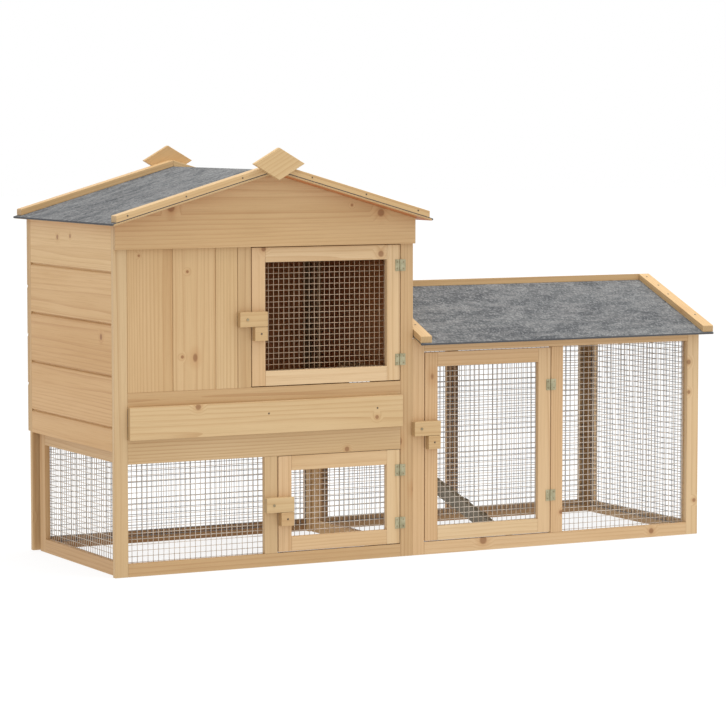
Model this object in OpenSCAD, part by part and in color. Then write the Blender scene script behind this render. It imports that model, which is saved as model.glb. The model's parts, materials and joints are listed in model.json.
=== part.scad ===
// Two-storey rabbit hutch with a gabled house, a lower mesh room and a side run.
// Working axes: X runs left to right, Y from the front frame face to the back, Z up from the ground.

/* [House] */
// Width of the house frame
house_w = 738; // [620:1:900]
// Depth of house and run, over the front and back frames
frame_d = 495; // [410:1:600]
// Height of the house walls at the eaves
eave_h = 773; // [700:1:930]
// Pitch of the house roof in degrees
house_pitch = 16; // [12:1:24]
// Height of the upper floor's top face
floor_h = 306; // [280:1:320]
// Height of the sill rail above the tray front
upper_sill_top = 403; // [395:1:430]
// Height of the front gable board's lower edge above the ground
gable_drop = 58; // [40:1:75]

/* [Run] */
// Length of the run beside the house
run_l = 782; // [650:1:950]
// Height of the run frame at its eaves
run_eave_h = 497; // [420:1:560]
// Pitch of the run roof in degrees
run_pitch = 21.6; // [15:0.1:26]

/* [Timber] */
// Width of the house corner posts
post_w = 32; // [28:1:40]
// Width of stiles and of the side frames' rails
stile_w = 32; // [26:1:38]
// Thickness of all frame timber
rail_t = 12; // [10:0.5:16]
// Height of the bottom rails
bottom_rail_h = 29; // [24:1:36]
// Thickness of the wall boards
board_t = 12; // [8:0.5:14]
// Cover width of one wall board
board_w = 112.5; // [90:0.5:130]
// Cover width of one upright front board
front_board_w = 103.4; // [90:0.1:120]
// Width of the first upright front board
front_first_w = 108.7; // [90:0.1:120]
// Depth of the V on each front board edge
vee = 1.6; // [0.8:0.1:2.5]
// Height of the step, and of the slope below it, along the top of each wall board
step_h = 3.3; // [2:0.1:4]
// Depth of that step
step_d = 4.5; // [3:0.1:6]
// Width of the narrow stiles hidden behind the front frame
hidden_stile_w = 20; // [16:1:26]

/* [Roofs] */
// Thickness of the plywood roof boards
roof_t = 4; // [3:0.5:9]
// Thickness of the mineral felt
felt_t = 1.6; // [1.5:0.1:3]
// Overhang of the house roof beyond each side
house_side_lap = 20; // [12:1:35]
// Overhang of the house roof in front
house_front_lap = 53; // [40:1:70]
// Overhang of the house roof behind
house_back_lap = 36; // [28:1:60]
// Overhang of the run roof in front and behind
run_lap = 34; // [25:1:50]
// Overhang of the run roof at its free end
run_end_lap = 18; // [10:1:30]
// Width of the roof battens
batten_w = 29; // [24:1:38]
// Thickness of the roof battens
batten_t = 14; // [10:1:18]
// Half width and half height of the ridge finials
finial_half = [62, 35.5];
// Thickness of the ridge finials
finial_t = 12; // [8:1:14]

/* [Doors] */
// Width of the upper door
upper_door_w = 372; // [320:1:420]
// Width of the lower door
lower_door_w = 308; // [260:1:350]
// Width of the run door
run_door_w = 335; // [280:1:380]
// Width of every door's rails and stiles
door_rail_w = 33; // [28:1:38]
// Clearance around every door
door_gap = 2; // [1.5:0.5:4]
// Distance of the house doors' hinges from the door ends
hinge_inset = 47; // [40:1:56]
// Distance of the run door's hinges from the door ends
run_hinge_inset = 87; // [70:1:110]
// Height of the run latch above the middle of its door
run_latch_rise = 44; // [0:1:60]

/* [Mesh] */
// Pitch of the welded wire mesh
mesh_pitch = 12.7; // [12.7:0.1:25.4]
// Thickness of one wire
wire_t = 1.2; // [0.8:0.1:1.6]
// Lap of the mesh onto the frame behind an opening
mesh_lap = 15; // [8:1:18]

/* [Tray and ramp] */
// Height of the tray front board
tray_front_h = 72; // [66:1:80]
// Height of the slot behind the tray front
tray_slot_h = 60; // [52:1:62]
// Height of the tray pan's walls
pan_h = 34; // [20:1:45]
// Width of the tray pan
pan_w = 590; // [450:1:600]
// Thickness of the pan sheet
pan_t = 1.2; // [0.8:0.1:2]
// Clearance on each side of the sliding tray
tray_gap = 2; // [1:0.5:4]
// Width of the ramp
ramp_w = 130; // [110:1:160]
// Slope of the ramp in degrees
ramp_slope = 36.1; // [33:0.1:40]
// Thickness of the ramp board
ramp_t = 8; // [6:0.5:12]
// Height of the side doorway above the upper floor
doorway_h = 109; // [90:1:120]
// Clearance between the ramp and the doorway on each side
doorway_gap = 8; // [4:1:15]

/* [Hidden] */

// Colours
pine = [0.86, 0.70, 0.49];
pine_light = [0.90, 0.76, 0.55];
charcoal = [0.25, 0.25, 0.24];
felt_grey = [0.40, 0.40, 0.41];
zinc = [0.74, 0.75, 0.73];

// Places across the house and the run
side_x = board_t + rail_t;                  // inner face of the left side frame
right_in = house_w - side_x;                // inner face of the right side frame
back_in = frame_d - rail_t;                 // inner face of the back frames
ridge_x = house_w / 2;
ridge_y = frame_d / 2;
run_x = house_w;
total_l = run_x + run_l;
run_post_w = post_w - 2;
seam = 0.1;                                 // open joint line between neighbouring pieces
side_back = back_in - 16;                   // back end of the house side frames
rail_y = [rail_t + hidden_stile_w + seam, side_back - stile_w - seam];

// Heights
mid_rail_h = 36;                            // side and back rails below the floor
floor_t = 9;
bearer_h = 24;
bearer_bottom = floor_h - floor_t - bearer_h;
mid_rail_top = floor_h - 21;
mid_rail_bottom = mid_rail_top - mid_rail_h;
wall_bottom = floor_h - 31;                 // lower edge of the side wall boards
lower_opening_top = wall_bottom - 28;       // lower edge of the front middle rail
gable_bottom = eave_h - gable_drop;
slot_top = floor_h + tray_slot_h;
tray_front_bottom = floor_h - 6;

// Doors
hinge_x = house_w - post_w - door_gap / 2;
lower_door_z = [bottom_rail_h + door_gap, lower_opening_top - door_gap / 2];
upper_door_z = [upper_sill_top + door_gap, gable_bottom - door_gap];
run_top_rail_h = 30;
run_door_z = [bottom_rail_h + door_gap, run_eave_h - run_top_rail_h - door_gap];
upper_stile_x = hinge_x - door_gap / 2 - upper_door_w - door_gap - stile_w;
lower_stile_x = hinge_x - door_gap / 2 - lower_door_w - door_gap - stile_w;
run_hinge_x = run_x + run_post_w + door_gap + run_door_w + door_gap / 2;
run_stile_x = run_hinge_x + door_gap / 2;

// Hinges: a knuckle of three parts on a loose pin
leaf_w = 13;
leaf_t = 1.2;
hinge_h = 26;
knuckle_r = 2.2;
pin_r = 1.1;
pin_fit = 0.05;
knuckle_gap = 0.3;
knuckle_part = hinge_h / 3;
leaf_start = knuckle_r + 0.4;
pin_head = [1.9, 0.8];                      // radius and height
house_hinges = [
    [hinge_x, upper_door_z[1] - hinge_inset], [hinge_x, upper_door_z[0] + hinge_inset],
    [hinge_x, lower_door_z[1] - hinge_inset], [hinge_x, lower_door_z[0] + hinge_inset]
];
run_hinges = [
    [run_hinge_x, run_door_z[1] - run_hinge_inset], [run_hinge_x, run_door_z[0] + run_hinge_inset]
];

// Latches: a turn button on the frame that rests above a handle block on the door
button_t = 15;
button_half = 16.5;
button_tail = 18;
button_reach = 50;
button_gap = 0.4;
pivot_r = 2;
pivot_fit = 0.08;
pivot_depth = 10;
pivot_head = [3, 1.2];                      // radius and thickness
block_h = 31;
block_side = button_half + 2;               // keeps the block clear of the turning tail
block_drop = 0.5;
upper_latch = [upper_stile_x + stile_w / 2, (upper_door_z[0] + upper_door_z[1]) / 2 - 4];
lower_latch = [lower_stile_x + stile_w / 2, (lower_door_z[0] + lower_door_z[1]) / 2];
run_latch = [run_x + run_post_w / 2, (run_door_z[0] + run_door_z[1]) / 2 + run_latch_rise];

// Tray: a sheet pan behind a wooden front
tray_clear = 0.3;
pan_x = right_in - 74 - pan_w;
pan_d = back_in - 28;
guide_w = 10;
guide_h = 20;
tray_front_x = [post_w, house_w - post_w];

// Ramp: from the ground of the run up through the side doorway to the floor
ramp_y = ridge_y - ramp_w / 2 - 8;
ramp_top_x = right_in - 21;
ramp_rise = ramp_t / cos(ramp_slope);
ramp_top_z = floor_h - 1.8;
ramp_foot_x = ramp_top_x + (ramp_top_z - ramp_rise) / tan(ramp_slope);
ramp_toe_x = ramp_top_x + ramp_top_z / tan(ramp_slope);
cleat_n = 7;
cleat_w = 10;
cleat_t = 4;
doorway_y = [ramp_y - doorway_gap, ramp_y + ramp_w + doorway_gap];
doorway_top = floor_h + doorway_h;
jamb_w = 12;

// Roofs
side_batten_short = 6;
ridge_beam_w = 12;
ridge_beam_h = 30;
house_rise = tan(house_pitch);
run_rise = tan(run_pitch);
ridge_under = eave_h + house_rise * ridge_x;
roof_v = roof_t / cos(house_pitch);         // roof board measured plumb
felt_v = felt_t / cos(house_pitch);
batten_v = batten_t / cos(house_pitch);
run_ridge_under = run_eave_h + run_rise * ridge_y;
run_roof_v = roof_t / cos(run_pitch);
run_felt_v = felt_t / cos(run_pitch);
run_batten_v = batten_t / cos(run_pitch);
house_roof_y = [-house_front_lap, frame_d + house_back_lap];
run_roof_x = [run_x + 2, total_l + run_end_lap];
felt_drip = 3;
skin = 0.05;                                // glue line under the felt and under the battens
felt_up = roof_v + skin;
batten_up = felt_up + felt_v + skin;
run_felt_up = run_roof_v + skin;
run_batten_up = run_felt_up + run_felt_v + skin;

// The origin lies on the ground under the middle of the whole outline
x_low = -house_side_lap - skin - felt_drip;
x_high = total_l + run_end_lap;
y_low = house_roof_y[0] - finial_t;
y_high = house_roof_y[1] + finial_t;
origin = [(x_low + x_high) / 2, (y_low + y_high) / 2, 0];

// ---- Helpers ----

module placed() translate(-origin) children();

// A box between two corners
module bar(from, to) translate(from) cube(to - from);

// A polygon of X and Z points drawn out along Y
module along_y(points, y0, y1)
    translate([0, y1, 0]) rotate([90, 0, 0]) linear_extrude(y1 - y0) polygon(points);

// A polygon of Y and Z points drawn out along X
module along_x(points, x0, x1)
    translate([x0, 0, 0]) rotate([90, 0, 90]) linear_extrude(x1 - x0) polygon(points);

// A round along Y, from y0 back to y1
module round_y(x, z, r, y0, y1)
    translate([x, y1, z]) rotate([90, 0, 0]) cylinder(h = y1 - y0, r = r, $fn = 32);

// A wall board's section: face side at a, back at b, between two joint lines. Under the next
// board its face slopes in to a step
function board_section(a, b, from, to, top = false) =
    let (d = a < b ? step_d : -step_d, low = from + seam / 2, high = to - seam / 2)
    top ? [[b, low], [b, high], [a, high], [a, low]]
        : [[b, low], [b, high], [a + d, high], [a + d, high - step_h], [a, high - 2 * step_h],
           [a, low]];

// Rails and stiles around a door or window, in the front plane
module flat_frame(x0, x1, z0, z1, w) {
    bar([x0, 0, z0], [x0 + w, rail_t, z1]);
    bar([x1 - w, 0, z0], [x1, rail_t, z1]);
    bar([x0 + w + seam, 0, z0], [x1 - w - seam, rail_t, z0 + w]);
    bar([x0 + w + seam, 0, z1 - w], [x1 - w - seam, rail_t, z1]);
}

// Wires from a to b at the mesh pitch, centred
function wires(a, b) =
    let (n = floor((b - a - wire_t) / mesh_pitch), start = (a + b - n * mesh_pitch) / 2)
    [for (i = [0 : n]) start + i * mesh_pitch];

// Crossed wires behind the front plane: uprights against the frame, level wires behind them
module mesh_y(x0, x1, z0, z1, y, way = 1) {
    weld = 0.02;
    upright = way > 0 ? [y, y + wire_t] : [y - wire_t, y];
    level = way > 0 ? [y + wire_t + weld, y + 2 * wire_t + weld]
                    : [y - 2 * wire_t - weld, y - wire_t - weld];
    for (x = wires(x0, x1))
        bar([x - wire_t / 2, upright[0], z0], [x + wire_t / 2, upright[1], z1]);
    for (z = wires(z0, z1))
        bar([x0, level[0], z - wire_t / 2], [x1, level[1], z + wire_t / 2]);
}

// The same on a side frame, turned to face along X
module mesh_x(y0, y1, z0, z1, x, way = 1) {
    translate([x, 0, 0]) rotate([0, 0, 90]) mirror([0, way > 0 ? 1 : 0, 0])
        mesh_y(y0, y1, z0, z1, 0);
}

// One hinge leaf: side is 1 for the frame's leaf and -1 for the door's
module hinge_leaf(x, z, side) {
    low = z - hinge_h / 2;
    parts = side > 0 ? [0, 2] : [1];
    difference() {
        union() {
            translate([side > 0 ? x + leaf_start : x - leaf_w, -leaf_t, low])
                cube([leaf_w - leaf_start, leaf_t, hinge_h]);
            for (k = parts) {
                base = low + k * knuckle_part + (k == 1 ? knuckle_gap : 0);
                tall = knuckle_part - (k == 1 ? 2 * knuckle_gap : 0);
                translate([side > 0 ? x : x - leaf_start - 0.1, -leaf_t, base])
                    cube([leaf_start + 0.1, leaf_t, tall]);
                translate([x, -knuckle_r, base]) cylinder(h = tall, r = knuckle_r, $fn = 32);
            }
        }
        translate([x, -knuckle_r, low - 1]) cylinder(h = hinge_h + 2, r = pin_r + pin_fit, $fn = 32);
    }
}

module hinge_pin(x, z) {
    translate([x, -knuckle_r, z - hinge_h / 2]) cylinder(h = hinge_h, r = pin_r, $fn = 32);
    translate([x, -knuckle_r, z + hinge_h / 2])
        cylinder(h = pin_head[1], r = pin_head[0], $fn = 32);
}

// A hole for a latch pivot in a front stile
module pivot_hole(latch) round_y(latch[0], latch[1], pivot_r, -1, pivot_depth);

module turn_button(latch) {
    difference() {
        bar([latch[0] - button_tail, -button_gap - button_t, latch[1] - button_half],
            [latch[0] + button_reach, -button_gap, latch[1] + button_half]);
        round_y(latch[0], latch[1], pivot_r + pivot_fit, -button_t - 2, 1);
    }
}

module handle_block(latch) {
    top = latch[1] - button_half - block_drop;
    bar([latch[0] + block_side, -button_t, top - block_h], [latch[0] + button_reach, 0, top]);
}

// Plumb height of the house and run roof undersides
function house_under(x) = eave_h + house_rise * min(x, house_w - x);
function run_under(y) = run_eave_h + run_rise * min(y, frame_d - y);

// A layer on one house slope, between two distances across, lifted and with a plumb thickness
module house_layer(x0, x1, lift, t, y)
    along_y([[x0, house_under(x0) + lift], [x1, house_under(x1) + lift],
             [x1, house_under(x1) + lift + t], [x0, house_under(x0) + lift + t]], y[0], y[1]);

module run_layer(y0, y1, lift, t, x)
    along_x([[y0, run_under(y0) + lift], [y1, run_under(y1) + lift],
             [y1, run_under(y1) + lift + t], [y0, run_under(y0) + lift + t]], x[0], x[1]);

// ---- House frame ----

module house_front_posts() color(pine) placed() {
    bar([0, 0, 0], [post_w, rail_t, eave_h]);
    bar([house_w - post_w, 0, 0], [house_w, rail_t, eave_h]);
}

module house_front_rails() color(pine) placed()
    for (z = [[0, bottom_rail_h], [lower_opening_top, floor_h],
              [slot_top, upper_sill_top], [gable_bottom + 1, gable_bottom + stile_w]])
        bar([post_w, 0, z[0]], [house_w - post_w, rail_t, z[1]]);

module house_front_stiles() color(pine) placed() {
    difference() {
        bar([lower_stile_x, 0, bottom_rail_h], [lower_stile_x + stile_w, rail_t, lower_opening_top]);
        pivot_hole(lower_latch);
    }
    difference() {
        bar([upper_stile_x, 0, upper_sill_top], [upper_stile_x + stile_w, rail_t, gable_bottom + 1]);
        pivot_hole(upper_latch);
    }
}

// Edges of the upright front boards, from the post to the upper stile
function front_edges() =
    let (n = ceil((upper_stile_x - post_w - front_first_w) / front_board_w))
    concat([post_w], [for (i = [0 : n - 1]) post_w + front_first_w + i * front_board_w],
           [upper_stile_x]);

module front_boards() color(pine_light) placed() {
    e = front_edges();
    for (i = [0 : len(e) - 2]) {
        x0 = e[i] + seam / 2;
        x1 = e[i + 1] - seam / 2;
        translate([0, 0, upper_sill_top]) linear_extrude(gable_bottom + 1 - upper_sill_top)
            polygon([[x0, rail_t], [x1, rail_t], [x1, 0.5 + vee], [x1 - vee, 0.5],
                     [x0 + vee, 0.5], [x0, 0.5 + vee]]);
    }
}

// Stiles and rails of a house side, between two X planes
module side_frame(x0, x1) {
    bar([x0, rail_t, 0], [x1, rail_t + hidden_stile_w, eave_h]);
    bar([x0, side_back - stile_w, 0], [x1, side_back, eave_h]);
    bar([x0, rail_y[0], 0], [x1, rail_y[1], bottom_rail_h + 2]);
    bar([x0, rail_y[0], eave_h - stile_w], [x1, rail_y[1], eave_h]);
}

module left_side_frame() color(pine) placed() {
    side_frame(board_t, side_x);
    bar([board_t, rail_y[0], mid_rail_bottom], [side_x, rail_y[1], mid_rail_top]);
}

module right_side_frame() color(pine) placed() {
    x0 = right_in;
    x1 = right_in + rail_t;
    side_frame(x0, x1);
    jamb = [doorway_y[0] - jamb_w, doorway_y[1] + jamb_w];
    bar([x0, rail_y[0], mid_rail_bottom], [x1, jamb[0] - seam, mid_rail_top]);
    bar([x0, jamb[1] + seam, mid_rail_bottom], [x1, rail_y[1], mid_rail_top]);
    bar([x0, jamb[0], mid_rail_bottom], [x1, doorway_y[0], doorway_top + jamb_w]);
    bar([x0, doorway_y[1], mid_rail_bottom], [x1, jamb[1], doorway_top + jamb_w]);
    bar([x0, doorway_y[0] + seam, doorway_top],
        [x1, doorway_y[1] - seam, doorway_top + jamb_w]);
}

// Edges of the level side boards: a narrow board lowest, then full boards up to the eaves
function side_edges() =
    let (first = wall_bottom + board_w / 2 - 1,
         n = floor((eave_h - first) / board_w))
    concat([wall_bottom], [for (i = [0 : n]) if (first + i * board_w < eave_h - 8) first + i * board_w],
           [eave_h]);

module left_wall_boards() color(pine_light) placed() {
    e = side_edges();
    for (i = [0 : len(e) - 2])
        along_y(board_section(0, board_t, e[i], e[i + 1], i == len(e) - 2), rail_t, back_in);
}

module right_wall_boards() color(pine_light) placed() {
    e = side_edges();
    for (i = [0 : len(e) - 2])
        difference() {
            along_y(board_section(house_w, house_w - board_t, e[i], e[i + 1], i == len(e) - 2),
                    rail_t, back_in);
            if (e[i] < doorway_top)
                bar([right_in, doorway_y[0], e[0] - 1], [house_w + 1, doorway_y[1], doorway_top]);
        }
}

module house_back_frame() color(pine) placed() {
    bar([0, back_in, 0], [post_w, frame_d, eave_h]);
    bar([house_w - post_w, back_in, 0], [house_w, frame_d, eave_h]);
    for (z = [[0, bottom_rail_h], [mid_rail_bottom, mid_rail_top], [eave_h - stile_w, eave_h]])
        bar([post_w + seam, back_in, z[0]], [house_w - post_w - seam, frame_d, z[1]]);
}

// Full boards from the floor level up to the back gable board
back_boards = floor((eave_h - 30 - wall_bottom) / board_w);
back_gable_bottom = wall_bottom + 2 + back_boards * board_w;

module back_wall_boards() color(pine_light) placed()
    for (i = [0 : back_boards - 1])
        along_x(board_section(frame_d + board_t, frame_d, wall_bottom + 2 + i * board_w,
                              wall_bottom + 2 + (i + 1) * board_w, i == back_boards - 1),
                0, house_w);

module gable(y0, y1, bottom)
    along_y([[0, bottom], [house_w, bottom], [house_w, eave_h], [ridge_x, ridge_under],
             [0, eave_h]], y0, y1);

module front_gable_board() color(pine_light) placed() gable(-rail_t, 0, gable_bottom);

module back_gable_board() color(pine_light) placed()
    gable(frame_d, frame_d + board_t, back_gable_bottom);

// Upright battens that carry the floor bearers, and one that stiffens the run's free corner
module corner_battens() color(pine) placed() {
    w = post_w - side_x - 1;
    d = 16;
    for (x = [side_x, right_in - w], y = [rail_t, back_in - d])
        bar([x, y, 0], [x + w, y + d, bearer_bottom]);
    bar([total_l - post_w, rail_t, 0],
        [total_l - rail_t, 2 * rail_t, run_eave_h]);
}

module floor_bearers() color(pine) placed()
    for (y = [rail_t, back_in - 12])
        bar([side_x, y, bearer_bottom], [right_in, y + 12, bearer_bottom + bearer_h]);

module upper_floor() color(pine_light) placed()
    difference() {
        bar([side_x, rail_t, floor_h - floor_t], [right_in, back_in, floor_h]);
        bar([ramp_top_x, ramp_y - 1, floor_h - floor_t - 1],
            [right_in + 1, ramp_y + ramp_w + 1, floor_h + 1]);
    }

module tray_guides() color(pine) placed()
    for (x = [pan_x - tray_gap - guide_w, pan_x + pan_w + tray_gap])
        bar([x, rail_t + 2 * wire_t + 2, floor_h], [x + guide_w, pan_d, floor_h + guide_h]);

// ---- Ramp ----

module ramp_board() color(charcoal) placed()
    along_y([[ramp_top_x, ramp_top_z - ramp_rise], [ramp_foot_x, 0], [ramp_toe_x, 0],
             [ramp_top_x, ramp_top_z]], ramp_y, ramp_y + ramp_w);

module ramp_cleats() color(charcoal) placed() {
    first = house_w + 45;
    step = (ramp_toe_x - first - 30) / (cleat_n - 1);
    for (i = [0 : cleat_n - 1]) {
        x = first + i * step;
        z = ramp_top_z - (x - ramp_top_x) * tan(ramp_slope);
        translate([x, ramp_y + 5, z]) rotate([0, ramp_slope, 0])
            cube([cleat_w, ramp_w - 10, cleat_t]);
    }
}

// ---- House roof ----

module house_ridge_beam() color(pine) placed() {
    top = house_under(ridge_x - ridge_beam_w / 2) - 0.2;
    bar([ridge_x - ridge_beam_w / 2, 0, top - ridge_beam_h],
        [ridge_x + ridge_beam_w / 2, frame_d, top]);
}

module house_roof_boards() color(pine_light) placed() {
    house_layer(-house_side_lap, ridge_x - seam, 0, roof_v, house_roof_y);
    house_layer(ridge_x + seam, house_w + house_side_lap, 0, roof_v, house_roof_y);
}

module house_roof_felt() color(felt_grey) placed() {
    y = [house_roof_y[0] + 1, house_roof_y[1] - 1];
    edge = [-house_side_lap - skin, house_w + house_side_lap + skin];
    house_layer(edge[0] - felt_drip, ridge_x - seam, felt_up, felt_v, y);
    house_layer(ridge_x + seam, edge[1] + felt_drip, felt_up, felt_v, y);
    house_layer(edge[0] - felt_drip, edge[0], roof_v / 2, roof_v / 2 + felt_v, y);
    house_layer(edge[1], edge[1] + felt_drip, roof_v / 2, roof_v / 2 + felt_v, y);
}

module house_roof_battens() color(pine) placed() {
    low = side_batten_short - house_side_lap;
    for (y = [[house_roof_y[0], house_roof_y[0] + batten_w],
              [house_roof_y[1] - batten_w, house_roof_y[1]]]) {
        house_layer(low, ridge_x - seam, batten_up, batten_v, y);
        house_layer(ridge_x + seam, house_w - low, batten_up, batten_v, y);
    }
}

module finial(y0) {
    c = [ridge_x, ridge_under + batten_up + batten_v - 1];
    along_y([[c[0] - finial_half[0], c[1]], [c[0], c[1] - finial_half[1]],
             [c[0] + finial_half[0], c[1]], [c[0], c[1] + finial_half[1]]], y0, y0 + finial_t);
}

module front_finial() color(pine_light) placed() finial(house_roof_y[0] - finial_t);

module back_finial() color(pine_light) placed() finial(house_roof_y[1]);

// ---- House mesh ----

module house_front_mesh() color(zinc) placed()
    mesh_y(post_w - 0.5, lower_stile_x + mesh_lap, bottom_rail_h - mesh_lap,
           lower_opening_top + mesh_lap, rail_t);

module left_side_mesh() color(zinc) placed()
    mesh_x(rail_t + hidden_stile_w - 3, side_back - 2, bottom_rail_h - mesh_lap,
           mid_rail_bottom + mesh_lap - 2, side_x);

module house_back_mesh() color(zinc) placed()
    mesh_y(post_w - 0.5, house_w - post_w + 0.5, bottom_rail_h - mesh_lap,
           mid_rail_bottom + mesh_lap - 2, back_in, -1);

// ---- Run ----

module run_front_frame() color(pine) placed() {
    difference() {
        bar([run_x, 0, 0], [run_x + run_post_w, rail_t, run_eave_h]);
        pivot_hole(run_latch);
    }
    bar([total_l - post_w, 0, 0], [total_l, rail_t, run_eave_h]);
    x = [run_x + run_post_w + seam, total_l - post_w - seam];
    bar([x[0], 0, 0], [x[1], rail_t, bottom_rail_h]);
    bar([x[0], 0, run_eave_h - run_top_rail_h], [x[1], rail_t, run_eave_h]);
    bar([run_stile_x, 0, bottom_rail_h + seam],
        [run_stile_x + stile_w, rail_t, run_eave_h - run_top_rail_h - seam]);
}

module run_back_frame() color(pine) placed() {
    bar([run_x, back_in, 0], [run_x + run_post_w, frame_d, run_eave_h]);
    bar([total_l - post_w, back_in, 0], [total_l, frame_d, run_eave_h]);
    x = [run_x + run_post_w + seam, total_l - post_w - seam];
    bar([x[0], back_in, 0], [x[1], frame_d, bottom_rail_h]);
    bar([x[0], back_in, run_eave_h - stile_w], [x[1], frame_d, run_eave_h]);
    bar([run_stile_x - 7, back_in, bottom_rail_h + seam],
        [run_stile_x - 7 + stile_w, frame_d, run_eave_h - stile_w - seam]);
}

module run_right_frame() color(pine) placed() {
    x = [total_l - rail_t, total_l];
    bar([x[0], rail_t, 0], [x[1], rail_t + hidden_stile_w, run_eave_h]);
    bar([x[0], back_in - stile_w, 0], [x[1], back_in, run_eave_h]);
    for (z = [[0, bottom_rail_h], [run_eave_h - stile_w, run_eave_h]])
        bar([x[0], rail_t + hidden_stile_w + seam, z[0]], [x[1], back_in - stile_w - seam, z[1]]);
}

module run_gable_board() color(pine_light) placed()
    along_x([[0, run_eave_h], [frame_d, run_eave_h], [ridge_y, run_ridge_under]],
            total_l - rail_t, total_l);

module run_ridge_beam() color(pine) placed() {
    top = run_under(ridge_y - ridge_beam_w / 2) - 0.2;
    bar([house_w, ridge_y - ridge_beam_w / 2, top - ridge_beam_h],
        [total_l - rail_t, ridge_y + ridge_beam_w / 2, top]);
}

module run_roof_boards() color(pine_light) placed() {
    run_layer(-run_lap, ridge_y - seam, 0, run_roof_v, run_roof_x);
    run_layer(ridge_y + seam, frame_d + run_lap, 0, run_roof_v, run_roof_x);
}

module run_roof_felt() color(felt_grey) placed() {
    x = [run_roof_x[0], run_roof_x[1] - 1];
    edge = [-run_lap - skin, frame_d + run_lap + skin];
    run_layer(edge[0] - felt_drip, ridge_y - seam, run_felt_up, run_felt_v, x);
    run_layer(ridge_y + seam, edge[1] + felt_drip, run_felt_up, run_felt_v, x);
    run_layer(edge[0] - felt_drip, edge[0], run_roof_v / 2, run_roof_v / 2 + run_felt_v, x);
    run_layer(edge[1], edge[1] + felt_drip, run_roof_v / 2, run_roof_v / 2 + run_felt_v, x);
}

module run_roof_battens() color(pine) placed()
    for (x = [[run_roof_x[0], run_roof_x[0] + batten_w],
              [run_roof_x[1] - batten_w, run_roof_x[1]]]) {
        run_layer(-run_lap, ridge_y - seam, run_batten_up, run_batten_v, x);
        run_layer(ridge_y + seam, frame_d + run_lap, run_batten_up, run_batten_v, x);
    }

module run_ridge_batten() color(pine) placed()
    run_layer(ridge_y, ridge_y + batten_w, run_batten_up, run_batten_v,
              [run_roof_x[0] + batten_w, run_roof_x[1] - batten_w]);

module run_front_mesh() color(zinc) placed()
    mesh_y(run_stile_x + stile_w - mesh_lap, total_l - post_w - 0.5, bottom_rail_h - mesh_lap,
           run_eave_h - run_top_rail_h + mesh_lap, rail_t);

module run_back_mesh() color(zinc) placed()
    mesh_y(run_x + run_post_w - mesh_lap, total_l - rail_t - 5, bottom_rail_h - mesh_lap,
           run_eave_h - stile_w + mesh_lap, back_in, -1);

module run_right_mesh() color(zinc) placed()
    mesh_x(2 * rail_t + 1, back_in - stile_w + mesh_lap, bottom_rail_h - mesh_lap,
           run_eave_h - stile_w + mesh_lap, total_l - rail_t, -1);

// ---- Hinges and latches ----

module frame_hinge_leaves() color(zinc) placed()
    for (h = concat(house_hinges, run_hinges)) hinge_leaf(h[0], h[1], 1);

module hinge_pins() color(zinc) placed()
    for (h = concat(house_hinges, run_hinges)) hinge_pin(h[0], h[1]);

module latch_pivots() color(zinc) placed()
    for (latch = [upper_latch, lower_latch, run_latch]) {
        front = -button_gap - button_t - 0.1;
        round_y(latch[0], latch[1], pivot_r, front, pivot_depth);
        round_y(latch[0], latch[1], pivot_head[0], front - pivot_head[1], front);
    }

module upper_door_button() color(pine_light) placed() turn_button(upper_latch);

module lower_door_button() color(pine_light) placed() turn_button(lower_latch);

module run_door_button() color(pine_light) placed() turn_button(run_latch);

// ---- Doors ----

// Window edges of a door whose hinge stands at x
function door_x(x, w) = [x - door_gap / 2 - w, x - door_gap / 2];

module door_frame(x, z) flat_frame(x[0], x[1], z[0], z[1], door_rail_w);

module door_mesh(x, z) {
    inset = door_rail_w - mesh_lap;
    mesh_y(x[0] + inset, x[1] - inset, z[0] + inset, z[1] - inset, rail_t);
}

module upper_door_frame() color(pine) placed()
    door_frame(door_x(hinge_x, upper_door_w), upper_door_z);

module upper_door_mesh() color(zinc) placed()
    door_mesh(door_x(hinge_x, upper_door_w), upper_door_z);

module upper_door_handle() color(pine_light) placed() handle_block(upper_latch);

module upper_door_hinge_leaves() color(zinc) placed()
    for (i = [0, 1]) hinge_leaf(house_hinges[i][0], house_hinges[i][1], -1);

module lower_door_frame() color(pine) placed()
    door_frame(door_x(hinge_x, lower_door_w), lower_door_z);

module lower_door_mesh() color(zinc) placed()
    door_mesh(door_x(hinge_x, lower_door_w), lower_door_z);

module lower_door_handle() color(pine_light) placed() handle_block(lower_latch);

module lower_door_hinge_leaves() color(zinc) placed()
    for (i = [2, 3]) hinge_leaf(house_hinges[i][0], house_hinges[i][1], -1);

module run_door_frame() color(pine) placed()
    door_frame(door_x(run_hinge_x, run_door_w), run_door_z);

module run_door_mesh() color(zinc) placed()
    door_mesh(door_x(run_hinge_x, run_door_w), run_door_z);

module run_door_handle() color(pine_light) placed() handle_block(run_latch);

module run_door_hinge_leaves() color(zinc) placed()
    for (h = run_hinges) hinge_leaf(h[0], h[1], -1);

// ---- Tray ----

module tray_front() color(pine_light) placed()
    bar([tray_front_x[0], -tray_clear - rail_t, tray_front_bottom],
        [tray_front_x[1], -tray_clear, tray_front_bottom + tray_front_h]);

module tray_pan() color(zinc) placed() {
    low = floor_h + 0.5;
    difference() {
        bar([pan_x, -tray_clear, low], [pan_x + pan_w, pan_d, low + pan_h]);
        bar([pan_x + pan_t, -tray_clear + pan_t, low + pan_t],
            [pan_x + pan_w - pan_t, pan_d - pan_t, low + pan_h + 1]);
    }
}

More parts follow.
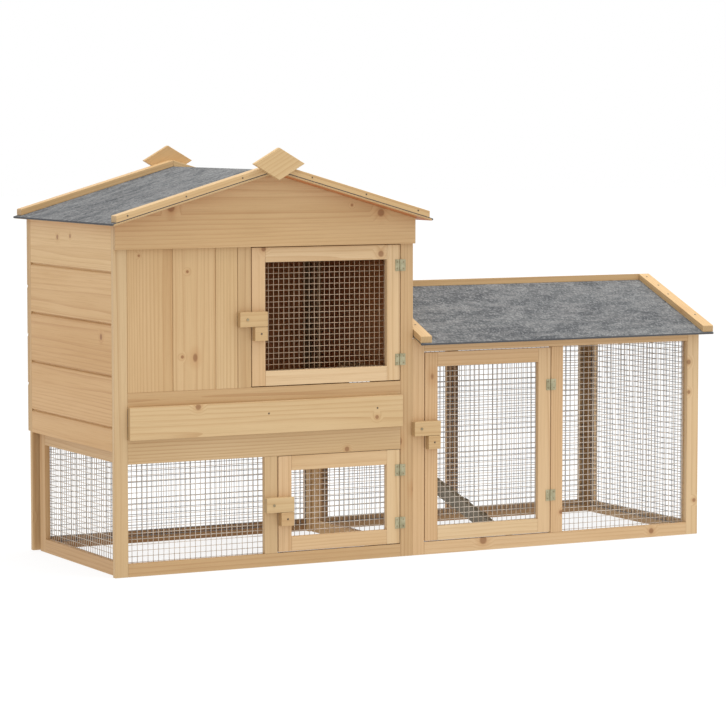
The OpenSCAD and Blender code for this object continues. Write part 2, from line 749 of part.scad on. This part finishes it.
house_front_posts();
house_front_rails();
house_front_stiles();
front_boards();
left_side_frame();
left_wall_boards();
right_side_frame();
right_wall_boards();
house_back_frame();
back_wall_boards();
front_gable_board();
back_gable_board();
corner_battens();
floor_bearers();
upper_floor();
tray_guides();
ramp_board();
ramp_cleats();
house_ridge_beam();
house_roof_boards();
house_roof_felt();
house_roof_battens();
front_finial();
back_finial();
house_front_mesh();
left_side_mesh();
house_back_mesh();
run_front_frame();
run_back_frame();
run_right_frame();
run_gable_board();
run_ridge_beam();
run_roof_boards();
run_roof_felt();
run_roof_battens();
run_ridge_batten();
run_front_mesh();
run_back_mesh();
run_right_mesh();
frame_hinge_leaves();
hinge_pins();
latch_pivots();
upper_door_frame();
upper_door_mesh();
upper_door_handle();
upper_door_hinge_leaves();
lower_door_frame();
lower_door_mesh();
lower_door_handle();
lower_door_hinge_leaves();
run_door_frame();
run_door_mesh();
run_door_handle();
run_door_hinge_leaves();
upper_door_button();
lower_door_button();
run_door_button();
tray_front();
tray_pan();
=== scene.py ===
import json
import math
import random

import bmesh
import bpy
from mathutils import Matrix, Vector


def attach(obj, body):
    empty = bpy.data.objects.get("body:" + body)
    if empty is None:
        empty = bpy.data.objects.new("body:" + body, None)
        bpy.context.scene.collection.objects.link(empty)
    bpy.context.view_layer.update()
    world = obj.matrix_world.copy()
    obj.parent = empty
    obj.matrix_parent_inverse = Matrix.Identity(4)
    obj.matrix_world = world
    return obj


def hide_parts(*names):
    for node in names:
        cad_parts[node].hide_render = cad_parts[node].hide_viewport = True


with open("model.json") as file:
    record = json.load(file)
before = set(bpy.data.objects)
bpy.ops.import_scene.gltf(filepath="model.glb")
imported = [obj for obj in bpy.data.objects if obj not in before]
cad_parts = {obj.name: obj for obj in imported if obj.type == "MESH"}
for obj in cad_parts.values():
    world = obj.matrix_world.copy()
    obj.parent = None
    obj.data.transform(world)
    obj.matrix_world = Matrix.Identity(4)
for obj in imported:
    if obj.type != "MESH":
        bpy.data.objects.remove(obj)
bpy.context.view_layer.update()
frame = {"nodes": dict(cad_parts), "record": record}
record = frame["record"]
random.seed(41)

BODY_OF = {node: body for body, nodes in record["behaviour"]["bodies"].items() for node in nodes}
SLOT_OF = {part["node"]: part["material_slot"] for part in record["subparts"]}


# ---------------------------------------------------------------- shader helpers

class Tree:
    """Short calls for building one material's node tree."""

    def __init__(self, name):
        self.material = bpy.data.materials.new(name)
        self.material.use_nodes = True
        self.nodes = self.material.node_tree.nodes
        self.links = self.material.node_tree.links
        self.nodes.clear()

    def place(self):
        """Where a point is in the row frame, at rest."""
        return self.node("TexCoord").outputs["Object"]

    def put(self, socket, value):
        if isinstance(value, bpy.types.NodeSocket):
            self.links.new(value, socket)
        elif isinstance(value, (tuple, list)) and len(value) == 3 and socket.type == "RGBA":
            socket.default_value = (*value, 1.0)
        else:
            socket.default_value = value

    def node(self, kind, inputs=None, **props):
        n = self.nodes.new("ShaderNode" + kind)
        for key, value in props.items():
            setattr(n, key, value)
        for key, value in (inputs or {}).items():
            self.put(n.inputs[key], value)
        return n

    def attribute(self, name, out="Vector"):
        return self.node("Attribute", attribute_name=name).outputs[out]

    def stretch(self, vector, scale, location=(0.0, 0.0, 0.0)):
        n = self.node("Mapping", {"Vector": vector, "Scale": scale, "Location": location})
        return n.outputs["Vector"]

    def noise(self, vector, scale, detail, rough=0.55):
        n = self.node("TexNoise", {"Vector": vector, "Scale": scale, "Detail": detail,
                                   "Roughness": rough})
        return n.outputs["Fac"]

    def math(self, how, a, b):
        return self.node("Math", {0: a, 1: b}, operation=how).outputs[0]

    def ramp(self, value, low, high, to_low=0.0, to_high=1.0):
        n = self.node("MapRange", {"Value": value, "From Min": low, "From Max": high,
                                   "To Min": to_low, "To Max": to_high}, clamp=True)
        return n.outputs["Result"]

    def mix(self, factor, a, b, how="MIX"):
        n = self.node("Mix", data_type="RGBA", blend_type=how)
        self.put(n.inputs[0], factor)
        self.put(n.inputs[6], a)
        self.put(n.inputs[7], b)
        return n.outputs[2]

    def finish(self, colour, rough, metallic=0.0, specular=0.4, bump=None, strength=0.1,
               distance=0.001):
        shader = self.node("BsdfPrincipled", {"Base Color": colour, "Roughness": rough,
                                              "Metallic": metallic,
                                              "Specular IOR Level": specular})
        if bump is not None:
            b = self.node("Bump", {"Height": bump, "Strength": strength, "Distance": distance})
            self.links.new(b.outputs["Normal"], shader.inputs["Normal"])
        out = self.node("OutputMaterial")
        self.links.new(shader.outputs[0], out.inputs["Surface"])
        return self.material


def linear(r, g, b):
    """An sRGB colour of 0 to 255 as linear numbers."""
    def channel(c):
        c /= 255.0
        return c / 12.92 if c <= 0.04045 else ((c + 0.055) / 1.055) ** 2.4
    return (channel(r), channel(g), channel(b))


# Colour multipliers for painted shade: the bedroom's inside, and wood that looks into the lower
# room or the run
BEDROOM_SHADE_TINT = (0.92, 0.54, 0.38)
INWARD_SHADE_TINT = (0.50, 0.42, 0.34)
KNOT_HALO = linear(176, 126, 76)
KNOT_CORE = linear(126, 80, 46)


def pine(name, pale, warm, late, knots=(), gloss=0.52, small_knots=0.86):
    """Clear-finished softwood. The grain attribute runs along each board and sits in its log."""
    t = Tree(name)
    grain = t.attribute("grain")
    tone = t.attribute("tone", "Fac")
    end = t.attribute("end", "Fac")
    place = t.place()

    # The knots given by place and radius
    near_knot = None
    for x, y, z, radius in knots:
        away = t.node("VectorMath", {0: place, 1: (x, y, z)},
                      operation="DISTANCE").outputs["Value"]
        halo = t.ramp(away, radius * 0.7, radius * 3.2, 1.0, 0.0)
        core = t.ramp(away, radius * 0.72, radius * 1.12, 1.0, 0.0)
        if near_knot is None:
            near_knot = (halo, core)
        else:
            near_knot = (t.math("MAXIMUM", near_knot[0], halo),
                         t.math("MAXIMUM", near_knot[1], core))

    # Growth rings round the log, wandering slowly along the board and bending round the knots
    slow = t.stretch(grain, (0.055, 1.0, 1.0))
    bend = t.noise(slow, 17.0, 2.0, 0.5)
    shift = t.ramp(bend, 0.25, 0.75, -0.5, 0.5)
    if near_knot is not None:
        shift = t.math("ADD", shift, near_knot[0])
    phase = t.math("MULTIPLY", shift, 9.0)
    rings = t.node("TexWave", {"Vector": slow, "Scale": 46.0, "Distortion": 2.2, "Detail": 2.0,
                               "Detail Scale": 0.45, "Phase Offset": phase},
                   wave_type="RINGS", rings_direction="X", wave_profile="SAW").outputs["Fac"]
    late_wood = t.ramp(rings, 0.35, 0.96)
    soft = t.math("POWER", late_wood, 2.2)
    presence = t.ramp(t.noise(t.stretch(grain, (0.8, 7.0, 7.0)), 1.6, 2.0), 0.34, 0.66, 0.3, 1.0)
    figure = t.math("MULTIPLY", soft, presence)

    # Fine fibres and broad, blotchy changes of tone
    fibre = t.noise(t.stretch(grain, (7.0, 620.0, 620.0)), 1.0, 3.0, 0.6)
    fleck = t.noise(t.stretch(grain, (26.0, 1500.0, 1500.0)), 1.0, 2.0, 0.6)
    broad = t.noise(t.stretch(grain, (1.3, 9.0, 9.0)), 1.0, 3.0, 0.55)

    colour = t.mix(t.ramp(broad, 0.3, 0.7), pale, warm)
    colour = t.mix(t.math("MULTIPLY", figure, 0.62), colour, late)
    dark = tuple(c * 0.80 for c in late)
    colour = t.mix(t.ramp(fibre, 0.52, 0.82, 0.0, 0.42), colour, dark)
    colour = t.mix(t.ramp(fleck, 0.60, 0.86, 0.0, 0.38), colour, dark)

    # Small round knots here and there
    cells = t.node("TexVoronoi", {"Vector": t.stretch(grain, (8.5, 14.0, 14.0)), "Scale": 1.0},
                   feature="F1")
    rare = t.node("SeparateColor", {0: cells.outputs["Color"]}).outputs[0]
    chosen = t.ramp(rare, small_knots, small_knots + 0.01)
    close = cells.outputs["Distance"]
    core = t.math("MULTIPLY", t.ramp(close, 0.055, 0.095, 1.0, 0.0), chosen)
    halo = t.math("MULTIPLY", t.ramp(close, 0.07, 0.27, 1.0, 0.0), chosen)
    if near_knot is not None:
        core = t.math("MAXIMUM", core, near_knot[1])
        halo = t.math("MAXIMUM", halo, t.ramp(near_knot[0], 0.35, 1.0))
    colour = t.mix(t.math("MULTIPLY", halo, 0.38), colour, KNOT_HALO)
    colour = t.mix(t.math("MULTIPLY", core, 0.66), colour, KNOT_CORE)

    # Each board's own tone, and thirstier end grain
    value = t.ramp(tone, 0.0, 1.0, 0.94, 1.06)
    shade = t.node("CombineColor", {0: value, 1: t.math("MULTIPLY", value, value),
                                    2: t.math("POWER", value, 3.0)}).outputs[0]
    colour = t.mix(1.0, colour, shade, "MULTIPLY")
    colour = t.mix(t.math("MULTIPLY", end, 0.35), colour, tuple(c * 0.55 for c in warm))

    # Painted shade: wood inside the bedroom, and wood that looks into the lower room or the run,
    # darkened as if in shadow
    for name_of_mark, tint in (("inner", BEDROOM_SHADE_TINT), ("dim", INWARD_SHADE_TINT)):
        mark = t.attribute(name_of_mark, "Fac")
        colour = t.mix(mark, colour, t.mix(1.0, colour, tint, "MULTIPLY"))

    height = t.math("ADD", t.math("MULTIPLY", fibre, 0.6), t.math("MULTIPLY", figure, -0.5))
    rough = t.ramp(fibre, 0.3, 0.8, gloss - 0.05, gloss + 0.13)
    return t.finish(colour, rough, specular=0.35, bump=height, strength=0.16, distance=0.0006)


def felt():
    """Mineral felt: mottled grey with fine granules."""
    t = Tree("mineral_felt")
    place = t.place()
    cloud = t.noise(t.stretch(place, (0.5, 1.0, 1.0)), 7.0, 6.0, 0.62)
    blotch = t.noise(t.stretch(place, (0.35, 1.0, 1.0), (3.1, 7.7, 1.3)), 40.0, 6.0, 0.72)
    grit = t.noise(place, 900.0, 2.0, 0.7)
    chips = t.node("TexVoronoi", {"Vector": place, "Scale": 260.0}, feature="F1")
    level = t.node("SeparateColor", {0: chips.outputs["Color"]}).outputs[1]
    colour = t.mix(t.ramp(cloud, 0.36, 0.64), linear(70, 72, 76), linear(100, 102, 104))
    colour = t.mix(t.ramp(blotch, 0.42, 0.64, 0.0, 0.46), colour, linear(142, 141, 141))
    colour = t.mix(t.ramp(blotch, 0.48, 0.32, 0.0, 0.36), colour, linear(60, 62, 66))
    colour = t.mix(t.ramp(level, 0.55, 1.0, 0.0, 0.42), colour, linear(152, 153, 154))
    colour = t.mix(t.ramp(level, 0.35, 0.0, 0.0, 0.42), colour, linear(60, 62, 65))
    facing = t.node("SeparateXYZ", {0: t.node("NewGeometry").outputs["True Normal"]}).outputs[2]
    colour = t.mix(t.ramp(facing, 0.5, 0.7, 1.0, 0.0), colour, linear(80, 81, 84))
    height = t.math("ADD", grit, t.math("MULTIPLY", chips.outputs["Distance"], 0.8))
    return t.finish(colour, 0.92, specular=0.22, bump=height, strength=0.5, distance=0.0008)


def metal(name, pale, dark, rough, metallic, scale=55.0):
    """Plated steel with faint cloudy spangle."""
    t = Tree(name)
    place = t.place()
    cloud = t.noise(place, scale, 4.0, 0.6)
    colour = t.mix(t.ramp(cloud, 0.32, 0.70), dark, pale)
    gloss = t.ramp(cloud, 0.3, 0.7, rough - 0.07, rough + 0.08)
    return t.finish(colour, gloss, metallic=metallic, specular=0.5, bump=cloud, strength=0.05)


FRAME_WOOD = (linear(196, 164, 122), linear(187, 152, 107), linear(163, 121, 77))
RUN_WOOD = (linear(211, 180, 140), linear(203, 169, 125), linear(177, 136, 91))
WALL_WOOD = (linear(205, 169, 122), linear(195, 156, 106), linear(172, 126, 77))
BOARD_WOOD = (linear(204, 173, 130), linear(194, 160, 114), linear(171, 129, 83))
BATTEN_WOOD = (linear(201, 170, 126), linear(191, 157, 110), linear(170, 129, 83))
# A dark grey-brown wood for the ramp
RAMP_WOOD = (linear(112, 99, 78), linear(93, 82, 64), linear(64, 56, 43))

mat_pine = pine("pine_frame", *FRAME_WOOD)
mat_run = pine("pine_run", *RUN_WOOD)
mat_board = pine("pine_board", *BOARD_WOOD, gloss=0.50, small_knots=0.95)
mat_batten = pine("pine_batten", *BATTEN_WOOD, small_knots=0.97)
mat_ramp = pine("dark_ramp_wood", *RAMP_WOOD, gloss=0.72, small_knots=0.99)
mat_felt = felt()
mat_wire = metal("galvanised_wire", linear(216, 204, 190), linear(188, 177, 164), 0.44, 0.2)
# A warmer copy of the same wire for the upper door: painted warm light
mat_warm_lit_wire = metal("warm_lit_wire", linear(190, 166, 141), linear(166, 143, 119), 0.5, 0.2)
# A darker copy of the same wire: painted shade for the back and right meshes
mat_shaded_wire = metal("shaded_wire", linear(134, 136, 140), linear(112, 114, 118), 0.5, 0.2)
mat_zinc = metal("zinc_plate", linear(188, 182, 152), linear(150, 144, 114), 0.38, 0.8)
mat_pan = metal("pan_sheet", linear(190, 192, 193), linear(164, 166, 168), 0.42, 0.45, 28.0)
mat_nail = metal("nail_heads", linear(120, 104, 84), linear(88, 74, 58), 0.5, 0.6)
mat_screw = metal("screw_heads", linear(176, 162, 132), linear(132, 118, 92), 0.36, 0.9)


# ---------------------------------------------------------------- geometry helpers

def groups(bm):
    """The loose pieces of a mesh, as lists of vertices, in a fixed order."""
    seen = set()
    found = []
    for start in bm.verts:
        if start in seen:
            continue
        seen.add(start)
        stack, piece = [start], []
        while stack:
            v = stack.pop()
            piece.append(v)
            for e in v.link_edges:
                w = e.other_vert(v)
                if w not in seen:
                    seen.add(w)
                    stack.append(w)
        found.append(piece)
    return found


def grain_axes(piece):
    """Directions along, across and through a board, the first along its longest edge."""
    edges = dict.fromkeys(e for v in piece for e in v.link_edges)
    longest = max(edges, key=lambda e: round(e.calc_length(), 5))
    along = (longest.verts[1].co - longest.verts[0].co).normalized()
    best = None
    for face in dict.fromkeys(f for v in piece for f in v.link_faces):
        if abs(face.normal.dot(along)) < 0.05:
            area = face.calc_area()
            if best is None or area > best[0] + 1e-9:
                best = (area, face.normal.copy())
    through = best[1]
    return along, through.cross(along).normalized(), through


def new_object(bm, name, node, material, body):
    mesh = bpy.data.meshes.new(name)
    bm.to_mesh(mesh)
    bm.free()
    mesh.materials.append(material)
    obj = bpy.data.objects.new(name, mesh)
    bpy.context.scene.collection.objects.link(obj)
    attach(obj, body)
    if node:
        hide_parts(node)
    return obj


ROOM_LOW = Vector((-0.7460, -0.2285, 0.3050))       # the bedroom's corners
ROOM_HIGH = Vector((-0.0300, 0.2565, 0.8900))


def faces_room(face):
    """True if a face bounds the bedroom and looks into it."""
    middle = face.calc_center_median()
    inside = all(ROOM_LOW[i] <= middle[i] <= ROOM_HIGH[i] for i in range(3))
    return inside and face.normal.dot((ROOM_LOW + ROOM_HIGH) / 2 - middle) > 0


# Which way a node looks into the lower room or the run, and how much painted shade its wood gets
# there
INWARD = {"run_back_frame": (Vector((0, -1, 0)), 0.85),
          "house_back_frame": (Vector((0, -1, 0)), 0.85),
          "run_right_frame": (Vector((-1, 0, 0)), 0.65),
          "run_roof_boards": (Vector((0, 0, -1)), 0.7),
          "right_side_frame": (Vector((1, 0, 0)), 0.5)}
LEFT_POST_X = -0.71                     # faces left of this are on the outer corner post
FACING = 0.8                            # cosine beyond which a face counts as looking that way


def painted_shade(node, face):
    """How much painted shade a face gets, from 0 to 1."""
    if face.calc_center_median().x < LEFT_POST_X:
        return 0.0
    way, amount = INWARD.get(node, (face.normal, 0.0))
    return amount if face.normal.dot(way) > FACING else 0.0


EASE = 0.0009                           # width of the eased edges
MERGE = 1e-6                            # vertices this close are one
SHARP = 0.45                            # angle in radians from which an edge is eased
SHORT = 0.004                           # edges shorter than this stay sharp


def timber(node, material):
    """The node's boards with eased edges, each with its own grain and tone."""
    bm = bmesh.new()
    bm.from_mesh(frame["nodes"][node].data)
    bmesh.ops.remove_doubles(bm, verts=bm.verts, dist=MERGE)
    bmesh.ops.dissolve_limit(bm, angle_limit=0.02, verts=bm.verts, edges=bm.edges)
    sharp = [e for e in bm.edges if e.is_manifold and e.calc_face_angle(0.0) > SHARP
             and e.calc_length() > SHORT]
    bmesh.ops.bevel(bm, geom=sharp, offset=EASE, segments=2, profile=0.5, affect="EDGES",
                    clamp_overlap=True)
    grain = bm.verts.layers.float_vector.new("grain")
    tone = bm.verts.layers.float.new("tone")
    inner = bm.faces.layers.float.new("inner")
    dim = bm.faces.layers.float.new("dim")
    end = bm.faces.layers.float.new("end")
    for piece in groups(bm):
        along, across, through = grain_axes(piece)
        offset = Vector((random.uniform(0, 40), random.uniform(-0.05, 0.05),
                         random.choice((-1, 1)) * random.uniform(0.012, 0.075)))
        shade = random.random()
        middle = sum((v.co for v in piece), Vector()) / len(piece)
        for v in piece:
            p = v.co - middle
            v[grain] = Vector((p.dot(along), p.dot(across), p.dot(through))) + offset
            v[tone] = shade
        for f in {f for v in piece for f in v.link_faces}:
            f[end] = 1.0 if abs(f.normal.dot(along)) > 0.9 else 0.0
            # Painted shade on the bedroom's inside faces and on faces that look into the lower
            # room or the run
            f[inner] = 1.0 if faces_room(f) and not node.endswith("_frame") else 0.0
            f[dim] = painted_shade(node, f)
    return new_object(bm, node + "_look", node, material, BODY_OF[node])


def ring(bm, centre, axis, radius, sides):
    """Vertices round an axis."""
    side = axis.orthogonal().normalized()
    other = axis.cross(side)
    return [bm.verts.new(centre + radius * (side * math.cos(k) + other * math.sin(k)))
            for k in (2 * math.pi * i / sides for i in range(sides))]


def band(bm, a, b):
    """Smooth faces between two rings."""
    for i in range(len(a)):
        j = (i + 1) % len(a)
        bm.faces.new((a[i], a[j], b[j], b[i])).smooth = True


def rod(bm, a, b, radius, sides):
    """A closed round rod between two points."""
    axis = (b - a).normalized()
    start = ring(bm, a, axis, radius, sides)
    end = ring(bm, b, axis, radius, sides)
    band(bm, start, end)
    bm.faces.new(start[::-1])
    bm.faces.new(end)


WIRE_RADIUS = 0.00074
WIRE_SIDES = 8
# Meshes whose wires take the darker copy, painted shade
SHADED_MESHES = {"run_back_mesh", "run_right_mesh", "house_back_mesh"}


def wire_mesh(node):
    """Round welded wires on the lines of the node's square ones."""
    source = bmesh.new()
    source.from_mesh(frame["nodes"][node].data)
    bmesh.ops.remove_doubles(source, verts=source.verts, dist=MERGE)
    bm = bmesh.new()
    for piece in groups(source):
        low = Vector([min(v.co[i] for v in piece) for i in range(3)])
        high = Vector([max(v.co[i] for v in piece) for i in range(3)])
        axis = max(range(3), key=lambda i: high[i] - low[i])
        a = (low + high) / 2
        b = a.copy()
        a[axis], b[axis] = low[axis], high[axis]
        rod(bm, a, b, WIRE_RADIUS, WIRE_SIDES)
    source.free()
    # The upper door's wires take the warmer copy, painted warm light
    wire = mat_shaded_wire if node in SHADED_MESHES else mat_warm_lit_wire if node == "upper_door_mesh" else mat_wire
    return new_object(bm, node + "_look", node, wire, BODY_OF[node])


HEAD_SIDES = 14
HEAD_PROFILE = ((1.0, -0.3), (1.0, 0.35), (0.72, 0.8))      # shares of radius and height


def heads(name, places, body, material, radius, height, normal=(0.0, -1.0, 0.0), slot="zinc"):
    """Low domed nail or screw heads on a face."""
    bm = bmesh.new()
    axis = Vector(normal).normalized()
    for p in places:
        centre = Vector(p)
        loops = [ring(bm, centre + axis * height * h, axis, radius * r, HEAD_SIDES)
                 for r, h in HEAD_PROFILE]
        top = bm.verts.new(centre + axis * height)
        for a, b in zip(loops, loops[1:]):
            band(bm, a, b)
        rim = loops[-1]
        for i in range(HEAD_SIDES):
            bm.faces.new((rim[i], rim[(i + 1) % HEAD_SIDES], top)).smooth = True
        bm.faces.new(loops[0][::-1])
    return new_object(bm, name, None, material, body)


# ---------------------------------------------------------------- the hutch

BOARDS = {"front_boards", "left_wall_boards", "right_wall_boards", "back_wall_boards",
          "front_gable_board", "back_gable_board", "upper_floor", "tray_front",
          "house_roof_boards", "run_roof_boards", "run_gable_board"}
BATTENS = {"house_roof_battens", "run_roof_battens", "run_ridge_batten", "front_finial",
           "back_finial", "upper_door_button", "lower_door_button", "run_door_button",
           "upper_door_handle", "lower_door_handle", "run_door_handle"}

# The larger knots: node, place and radius
KNOTS = [
    ("house_back_frame", -0.7575, 0.2287, 0.0773, 0.0070),
    ("front_gable_board", -0.1086, -0.2510, 0.7859, 0.0090),
    ("front_gable_board", -0.6255, -0.2510, 0.8036, 0.0090),
    ("front_gable_board", -0.1823, -0.2510, 0.8042, 0.0030),
    ("front_boards", -0.6968, -0.2390, 0.7009, 0.0030),
    ("front_boards", -0.5815, -0.2390, 0.6637, 0.0035),
    ("front_boards", -0.5945, -0.2390, 0.4772, 0.0040),
    ("upper_door_frame", -0.1022, -0.2390, 0.6928, 0.0075),
    ("upper_door_frame", -0.3967, -0.2390, 0.7096, 0.0060),
    ("left_wall_boards", -0.7575, 0.0793, 0.7317, 0.0060),
    ("left_wall_boards", -0.7575, 0.0041, 0.7365, 0.0050),
    ("left_wall_boards", -0.7575, -0.1693, 0.5222, 0.0070),
    ("tray_front", -0.5626, -0.2510, 0.3670, 0.0070),
    ("tray_front", -0.1186, -0.2510, 0.3243, 0.0050),
    ("run_front_frame", 0.1669, -0.2390, 0.0235, 0.0100),
    ("run_front_frame", 0.6308, -0.2390, 0.0151, 0.0070),
    ("run_front_frame", 0.7344, -0.2390, 0.4161, 0.0060),
    ("run_front_frame", 0.7351, -0.2390, 0.3439, 0.0050),
    ("run_front_frame", 0.7529, -0.2390, 0.0820, 0.0050),
    ("run_front_frame", 0.3773, -0.2390, 0.0760, 0.0050),
    ("house_front_rails", -0.1889, -0.2390, 0.2540, 0.0060),
]

FINISHES = {"roof_felt": mat_felt, "zinc": mat_zinc, "pan_sheet": mat_pan}


def wood_for(node):
    """The node's wood: its own material where it has large knots, or a shared one."""
    own = [k[1:] for k in KNOTS if k[0] == node]
    if own:
        tones = (WALL_WOOD if node == "left_wall_boards" else BOARD_WOOD if node in BOARDS
                 else RUN_WOOD if node.startswith(("run_", "upper_door")) else FRAME_WOOD)
        return pine("pine_" + node, *tones, knots=own, small_knots=0.95)
    if node in BOARDS:
        return mat_board
    if node in BATTENS:
        return mat_batten
    return mat_run if node.startswith("run_") or node.endswith("_door_frame") else mat_pine


for node, obj in sorted(frame["nodes"].items()):
    slot = SLOT_OF[node]
    if slot == "pine":
        timber(node, wood_for(node))
    elif slot == "ramp_timber":
        timber(node, mat_ramp)
    elif slot == "galvanised_wire":
        wire_mesh(node)
    else:
        for s in obj.material_slots:
            s.material = mat_screw if node == "latch_pivots" else FINISHES[slot]

OX, OY = 0.757475, 0.239                # the CAD origin, from the house's front left corner


def at(x, y, z):
    """A point given in millimetres from the house's front left corner, in the row frame."""
    return (x / 1000 - OX, y / 1000 - OY, z / 1000)


# Hinge screws, two in each leaf, in mm from the middle of the hinge
HINGES = {"upper_door": [(705, 666), (705, 452)], "lower_door": [(705, 199), (705, 78)],
          "run_door": [(1106, 378), (1106, 118)]}
SCREW_OUT, SCREW_UP = 8.2, 7.5
LEAF_FACE = -1.2
SCREW_HEAD = (mat_screw, 0.0019, 0.0008)
frame_screws = []
for door, places in HINGES.items():
    door_screws = []
    for x, z in places:
        for up in (-SCREW_UP, SCREW_UP):
            frame_screws.append(at(x + SCREW_OUT, LEAF_FACE, z + up))
            door_screws.append(at(x - SCREW_OUT, LEAF_FACE, z + up))
    heads("hinge_screws_" + door, door_screws, door, *SCREW_HEAD)
heads("hinge_screws_frame", frame_screws, "hutch", *SCREW_HEAD)

# Screws in the handle blocks, each to the right of its button's pivot and below it
PIVOTS = {"upper_door": (314, 555), "lower_door": (378, 138.5), "run_door": (753, 292)}
BLOCK_RIGHT, BLOCK_DOWN, BLOCK_FACE = 34.2, 32.5, -15
for door, (x, z) in PIVOTS.items():
    heads("handle_screw_" + door, [at(x + BLOCK_RIGHT, BLOCK_FACE, z - BLOCK_DOWN)], door,
          mat_nail, 0.0024, 0.0007)

# Nails in the tray front
TRAY_FACE, TRAY_MIDDLE = -12.3, 345
heads("tray_nails", [at(x, TRAY_FACE, TRAY_MIDDLE) for x in (367, 640)], "tray", mat_nail,
      0.0022, 0.0005)

# Nails along the tops of the run roof's side battens, a little off their middle lines
RUN_PITCH = math.radians(21.6)
RUN_EAVE, BATTEN_TOP = 497, 19.7        # BATTEN_TOP and BATTEN_MIDDLE are square to the slopes
batten_nails = []
for x in (755, 1523):
    for y in (24, 135, 183, 230):
        top = RUN_EAVE + math.tan(RUN_PITCH) * y + BATTEN_TOP / math.cos(RUN_PITCH)
        batten_nails.append(at(x + (y % 5) - 2, y, top))
heads("run_batten_nails", batten_nails, "hutch", mat_nail, 0.0025, 0.0005,
      (0.0, -math.sin(RUN_PITCH), math.cos(RUN_PITCH)), "pine")

# Nails along the front faces of the house roof's front battens
HOUSE_PITCH = math.radians(16)
HOUSE_WIDTH, HOUSE_EAVE = 738, 773
BATTEN_FACE, BATTEN_MIDDLE = -53, 12.7
front_nails = []
for x in (12, 150, 285, 455, 590, 722):
    rise = math.tan(HOUSE_PITCH) * min(x, HOUSE_WIDTH - x)
    height = HOUSE_EAVE + rise + BATTEN_MIDDLE / math.cos(HOUSE_PITCH)
    front_nails.append(at(x, BATTEN_FACE, height))
heads("roof_batten_nails", front_nails, "hutch", mat_nail, 0.0020, 0.0005, slot="pine")

# ---------------------------------------------------------------- studio

WHITE = (1.0, 1.0, 1.0, 1.0)
FLOOR_DROP = 0.0004                     # the floor lies this far below the feet
FLOOR_GREY, FLOOR_GLOW = 0.16, 0.85

bpy.ops.mesh.primitive_plane_add(size=60, location=(0, 0, -FLOOR_DROP))
floor = bpy.context.active_object
floor.name = "studio_floor"
t = Tree("studio_floor")
floor.data.materials.append(t.finish((FLOOR_GREY,) * 3, 0.9, specular=0.1))
shader = t.nodes["Principled BSDF"]
shader.inputs["Emission Color"].default_value = WHITE
shader.inputs["Emission Strength"].default_value = FLOOR_GLOW

world = bpy.data.worlds.new("studio")
bpy.context.scene.world = world
world.use_nodes = True
background = world.node_tree.nodes["Background"]
background.inputs["Color"].default_value = WHITE
background.inputs["Strength"].default_value = 1.0


def turn_to(obj, place, target):
    """Put a light or camera at a place, looking at a target."""
    obj.location = place
    obj.rotation_euler = (Vector(target) - Vector(place)).to_track_quat("-Z", "Y").to_euler()


MIDDLE = (0.0, 0.0, 0.4)


def area_light(name, place, size, power, colour=WHITE[:3]):
    data = bpy.data.lights.new(name, "AREA")
    data.shape = "SQUARE"
    data.size = size
    data.energy = power
    data.color = colour
    lamp = bpy.data.objects.new(name, data)
    bpy.context.scene.collection.objects.link(lamp)
    turn_to(lamp, place, MIDDLE)


area_light("top", (0.7, -0.7, 4.6), 2.6, 150, (1.0, 0.98, 0.92))
area_light("key", (-3.4, -3.6, 2.6), 3.2, 6)

# ---------------------------------------------------------------- camera

camera_data = bpy.data.cameras.new("camera")
camera = bpy.data.objects.new("camera", camera_data)
bpy.context.scene.collection.objects.link(camera)
turn_to(camera, (-3.28668, -6.18800, 0.99420), (-0.04258, -0.03900, 0.42875))
camera_data.sensor_width = 36.0
camera_data.lens = 148.23
camera_data.clip_end = 100.0
bpy.context.scene.camera = camera

scene = bpy.context.scene
scene.view_settings.view_transform = "Standard"
scene.view_settings.look = "None"
